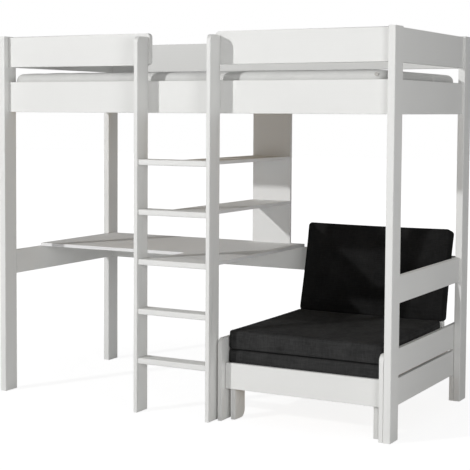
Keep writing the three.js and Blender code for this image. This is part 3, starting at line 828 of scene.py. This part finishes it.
def black_canvas(name, dark, light):
    """Dyed cotton canvas: almost black and matt, with a plain weave of 1 mm threads drawn at
    2.4 mm so that it shows, slubs where a thread is thicker for 30 mm, and a little lint."""
    material, tree, surface = new_material(name)
    place = add_node(tree, "ShaderNodeTexCoord").outputs["Object"]
    threads = []
    for direction in "XYZ":
        wave = add_node(tree, "ShaderNodeTexWave",
                        {"bands_direction": direction, "Scale": WAVE_PERIOD / THREAD_SPACING,
                         "Distortion": 0.6, "Detail": 1.0, "Detail Scale": 2.0},
                        {"Vector": place})
        threads.append(wave.outputs["Fac"])
    cross = add_node(tree, "ShaderNodeMath", {"operation": "MULTIPLY"}, {0: threads[0], 1: threads[2]})
    other = add_node(tree, "ShaderNodeMath", {"operation": "MULTIPLY_ADD"},
                     {0: threads[1], 1: threads[0], 2: cross.outputs["Value"]})
    lint = add_node(tree, "ShaderNodeTexNoise", {"Scale": 1 / LINT_PATCH, "Detail": 4.0},
                    {"Vector": place})
    shade = add_node(tree, "ShaderNodeMath", {"operation": "MULTIPLY_ADD", 1: 0.25},
                     {0: other.outputs["Value"], 2: lint.outputs["Fac"]})
    along = 1 / SLUB_LENGTH
    across = 1 / SLUB_THICKNESS
    for stretch in ((along, along, across), (across, along, along)):
        slub_place = add_node(tree, "ShaderNodeMapping", {"Scale": stretch}, {"Vector": place})
        slub = add_node(tree, "ShaderNodeTexNoise", {"Scale": 1.0, "Detail": 2.0},
                        {"Vector": slub_place.outputs["Vector"]})
        level = add_node(tree, "ShaderNodeMapRange",
                         {"From Min": 0.35, "From Max": 0.7, "To Min": -0.15, "To Max": 0.15},
                         {"Value": slub.outputs["Fac"]})
        shade = add_node(tree, "ShaderNodeMath", {"operation": "ADD"},
                         {0: shade.outputs["Value"], 1: level.outputs["Result"]})
    colour = add_node(tree, "ShaderNodeMix",
                      {"data_type": "RGBA", 6: linear(dark), 7: linear(light)},
                      {0: shade.outputs["Value"]})
    bump = add_node(tree, "ShaderNodeBump", {"Strength": 0.5, "Distance": 0.0005},
                    {"Height": other.outputs["Value"]})
    tree.links.new(colour.outputs[2], surface.inputs["Base Color"])
    tree.links.new(bump.outputs["Normal"], surface.inputs["Normal"])
    surface.inputs["Roughness"].default_value = 0.9
    surface.inputs["Specular IOR Level"].default_value = 0.06
    return material


# Painted light: the seat gets a lighter copy of the one black canvas, standing in for the light falling
# on the seat.
seat_canvas = black_canvas("black_canvas_lit_copy", "#242424", "#3e3e3e")


def points_of(mesh):
    """The places of a mesh's points as an array with one row each."""
    places = np.zeros(len(mesh.vertices) * 3)
    mesh.vertices.foreach_get("co", places)
    return places.reshape(-1, 3)


def applied(piece):
    """Replaces the piece's mesh by the result of its modifiers."""
    graph = bpy.context.evaluated_depsgraph_get()
    mesh = bpy.data.meshes.new_from_object(piece.evaluated_get(graph))
    piece.modifiers.clear()
    old = piece.data
    piece.data = mesh
    bpy.data.meshes.remove(old)


def stuffed(name, size, swell, face_high):
    """A cover blown up by its filling: held at its seams, swollen by the pressure of a cloth
    simulation, whose moves die down at the given swell, then fitted to the size again and
    smoothed, with its seams sunk in. The crowned face rises to the given height."""
    piece = soft_block(name, size, CUSHION_CORNER, CUSHION_EDGE, CUSHION_DRAW_IN, CUSHION_MESH)
    before = points_of(piece.data)
    seams = np.zeros(len(before))
    piece.data.attributes["seam"].data.foreach_get("value", seams)
    held = piece.vertex_groups.new(name="seams")
    held.add([int(i) for i in np.flatnonzero(seams > HELD_SEAM)], 1.0, "REPLACE")
    filling = piece.modifiers.new("filling", "CLOTH")
    cloth = filling.settings
    cloth.vertex_group_mass = "seams"
    cloth.use_pressure = True
    cloth.uniform_pressure_force = 4
    cloth.mass = 0.3
    cloth.tension_stiffness = 25
    cloth.compression_stiffness = 25
    cloth.shear_stiffness = 12
    cloth.bending_stiffness = 2
    cloth.effector_weights.gravity = 0
    for step in range(1, CLOTH_FRAMES + 1):
        bpy.context.scene.frame_set(step)
    applied(piece)
    bpy.context.scene.frame_set(1)
    moved = points_of(piece.data) - before
    length = np.linalg.norm(moved, axis=1, keepdims=True)
    kept = swell * (1 - np.exp(-length / swell)) / np.maximum(length, 1e-9)
    piece.data.vertices.foreach_set("co", (before + moved * kept).ravel())
    piece.modifiers.new("smooth", "SUBSURF").levels = 1
    applied(piece)
    places = points_of(piece.data)
    half = np.array(size) / 2
    widest = np.abs(places[:, :2]).max(axis=0)
    places[:, :2] *= half[:2] / widest
    places[:, 2] = np.clip(places[:, 2], -half[2], face_high)
    piece.data.vertices.foreach_set("co", places.ravel())
    piece.data.update()
    normals = np.zeros(len(places) * 3)
    piece.data.vertices.foreach_get("normal", normals)
    seams = np.zeros(len(places))
    piece.data.attributes["seam"].data.foreach_get("value", seams)
    sunk = np.where(seams > SUNK_SEAM, SEAM_DEPTH, 0)[:, None]
    piece.data.vertices.foreach_set("co", (places - sunk * normals.reshape(-1, 3)).ravel())
    piece.data.update()
    piece.data.shade_smooth()
    return piece


for node, proud, crown in (
    ("seat_cushion_lower", 0, 0),
    ("seat_cushion_upper", SEAT_PROUD, SEAT_CROWN),
):
    low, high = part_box(node)
    high.y += proud
    size = high - low
    seat = stuffed(f"{node}_cover", size, SEAT_SWELL, size.z / 2 + crown)
    seat.data.transform(Matrix.Translation((low + high) / 2))
    seat.data.materials.append(seat_canvas)
    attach(seat, "bed")
    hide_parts(node)

# Back cushion. The same foam and canvas, 450 mm high; its canvas is drawn
# darker as painted shade. It stands on the rail behind the seat, where its
# foot settles flat, and leans back on the bed's mid rail.

BACK_LEAN = math.radians(14.068)
BACK_SIZE = (0.760, 0.450, 0.080)
BACK_FOOT = Vector((0.609, 0.337, 0.41533))
BACK_SWELL = 0.012
BACK_SETTLES = 0.060
BACK_PRESSED = 0.009
RAIL_CLEARANCE = 0.0006

back = stuffed("back_cushion_cover", BACK_SIZE, BACK_SWELL, BACK_SIZE[2] / 2 + BACK_SWELL)
stand_up = Matrix.Rotation(math.radians(90), 4, "X")
lift = Matrix.Translation((0, BACK_SIZE[2] / 2, BACK_SIZE[1] / 2))
lean = Matrix.Rotation(-BACK_LEAN, 4, "X")
rail_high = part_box("chair_back_rail")[1]
rail_top = rail_high.z + RAIL_CLEARANCE
settled = []
for vertex in back.data.vertices:
    over_foot = vertex.co.y + BACK_SIZE[1] / 2
    behind_front = BACK_SIZE[2] / 2 - vertex.co.z
    share = max(0, 1 - over_foot / BACK_SETTLES) ** 2
    spare = BACK_FOOT.z - behind_front * math.sin(BACK_LEAN) - rail_top
    pressed = BACK_PRESSED * max(0, 1 - behind_front / BACK_SIZE[2])
    settled.append(share * (max(0, spare) + pressed))
back.data.transform(Matrix.Translation(BACK_FOOT) @ lean @ lift @ stand_up)
for vertex, drop in zip(back.data.vertices, settled):
    vertex.co.z -= drop
    if vertex.co.y < rail_high.y + CUSHION_MESH:
        vertex.co.z = max(vertex.co.z, rail_top)
# Painted shade: the back cushion gets a darker copy of the one black canvas, standing in for the shade
# under the bed.
back.data.materials.append(black_canvas("black_canvas_shaded_copy", "#121212", "#252525"))
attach(back, "back_cushion")
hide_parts("back_cushion")

# Studio. A white floor that runs into a white backdrop, one small hard lamp
# high on the left in front, which throws the crisp shadows, a soft box low
# on the right, and the weak light of the room, a little brighter from behind.

FLOOR_REACH = 30
SHADOW_REACH = 3.6
FLOOR_GLOW = 0.88
FLOOR_SHADE = 0.22
ROOM_LIGHT = 0.22
ROOM_LIGHT_BEHIND = 0.36
LAMP_PLACE = (-3.67, -6.14, 3.78)
SOFT_BOX_PLACE = (4.6, -4.0, 1.6)
SOFT_BOX_AIM = (0, 0, 0.9)
CAMERA_PLACE = (2.998, -5.649, 1.425)
CAMERA_TURN = math.radians(29.47)
CAMERA_TILT = math.radians(-3.54)
CAMERA_ROLL = math.radians(0.27)

floor_mesh = bpy.data.meshes.new("studio_floor")
corners = [(-FLOOR_REACH, -FLOOR_REACH, 0), (FLOOR_REACH, -FLOOR_REACH, 0),
           (FLOOR_REACH, FLOOR_REACH, 0), (-FLOOR_REACH, FLOOR_REACH, 0)]
floor_mesh.from_pydata(corners, [], [(0, 1, 2, 3)])
floor = bpy.data.objects.new("studio_floor", floor_mesh)
bpy.context.scene.collection.objects.link(floor)
floor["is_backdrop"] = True

# The camera sees the paint glow white with a faint shadow; for the bed it is a plain pale floor.
floor_paint = bpy.data.materials.new("white_floor_paint")
floor_paint.use_nodes = True
tree = floor_paint.node_tree
tree.nodes.remove(tree.nodes["Principled BSDF"])
path = add_node(tree, "ShaderNodeLightPath")
lit = add_node(tree, "ShaderNodeBsdfDiffuse", {"Color": linear("#f0f0f0")})
shown = add_node(tree, "ShaderNodeBsdfDiffuse", {"Color": (FLOOR_SHADE, FLOOR_SHADE, FLOOR_SHADE, 1)})
place = add_node(tree, "ShaderNodeTexCoord").outputs["Object"]
away = add_node(tree, "ShaderNodeVectorMath", {"operation": "LENGTH"}, {0: place})
fade = add_node(tree, "ShaderNodeMapRange",
                {"From Min": SHADOW_REACH / 3, "From Max": SHADOW_REACH, "To Min": FLOOR_GLOW,
                 "To Max": 1.0},
                {"Value": away.outputs["Value"]})
glow = add_node(tree, "ShaderNodeEmission", {"Color": (1, 1, 1, 1)},
                {"Strength": fade.outputs["Result"]})
white = add_node(tree, "ShaderNodeAddShader", {},
                 {0: shown.outputs["BSDF"], 1: glow.outputs["Emission"]})
paint = add_node(tree, "ShaderNodeMixShader", {},
                 {0: path.outputs["Is Camera Ray"], 1: lit.outputs["BSDF"], 2: white.outputs["Shader"]})
tree.links.new(paint.outputs["Shader"], tree.nodes["Material Output"].inputs["Surface"])
floor.data.materials.append(floor_paint)

world = bpy.data.worlds.new("white_studio")
bpy.context.scene.world = world
world.use_nodes = True
tree = world.node_tree
path = add_node(tree, "ShaderNodeLightPath")
direction = add_node(tree, "ShaderNodeTexCoord").outputs["Generated"]
behind = add_node(tree, "ShaderNodeSeparateXYZ", {}, {0: direction}).outputs["Y"]
level = add_node(tree, "ShaderNodeMapRange",
                 {"From Min": 0.0, "From Max": 1.0, "To Min": ROOM_LIGHT, "To Max": ROOM_LIGHT_BEHIND},
                 {"Value": behind})
room = add_node(tree, "ShaderNodeBackground", {"Color": (1, 1, 1, 1)},
                {"Strength": level.outputs["Result"]})
backdrop = add_node(tree, "ShaderNodeBackground", {"Color": (1, 1, 1, 1), "Strength": 1.0})
sky = add_node(tree, "ShaderNodeMixShader", {},
               {0: path.outputs["Is Camera Ray"], 1: room.outputs["Background"],
                2: backdrop.outputs["Background"]})
tree.links.new(sky.outputs["Shader"], tree.nodes["World Output"].inputs["Surface"])

lamp = bpy.data.lights.new("hard_lamp", "POINT")
lamp.energy = 155
lamp.shadow_soft_size = 0.11
lamp.use_nodes = True
tree = lamp.node_tree
reach = add_node(tree, "ShaderNodeLightFalloff", {"Strength": 1.0})
tree.links.new(reach.outputs["Linear"], tree.nodes["Emission"].inputs["Strength"])
lamp_stand = bpy.data.objects.new("hard_lamp", lamp)
lamp_stand.location = LAMP_PLACE
bpy.context.scene.collection.objects.link(lamp_stand)

soft_box = bpy.data.lights.new("soft_box", "AREA")
soft_box.shape = "SQUARE"
soft_box.size = 1.8
soft_box.energy = 84
box_stand = bpy.data.objects.new("soft_box", soft_box)
box_stand.location = SOFT_BOX_PLACE
aim = Vector(SOFT_BOX_AIM) - box_stand.location
box_stand.rotation_euler = aim.to_track_quat("-Z", "Y").to_euler()
bpy.context.scene.collection.objects.link(box_stand)

lens = bpy.data.cameras.new("view_camera")
lens.lens = 98.98
lens.sensor_width = 36
lens.sensor_fit = "HORIZONTAL"
lens.shift_x = 0.085
lens.shift_y = -0.096
lens.clip_end = 100
camera = bpy.data.objects.new("view_camera", lens)
turn = Matrix.Rotation(CAMERA_TURN, 4, "Z")
tilt = Matrix.Rotation(math.pi / 2 + CAMERA_TILT, 4, "X")
roll = Matrix.Rotation(CAMERA_ROLL, 4, "Z")
camera.matrix_world = Matrix.Translation(CAMERA_PLACE) @ turn @ tilt @ roll
bpy.context.scene.collection.objects.link(camera)
bpy.context.scene.camera = camera
bpy.context.scene.view_settings.view_transform = "Standard"

bpy.context.view_layer.update()
low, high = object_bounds()
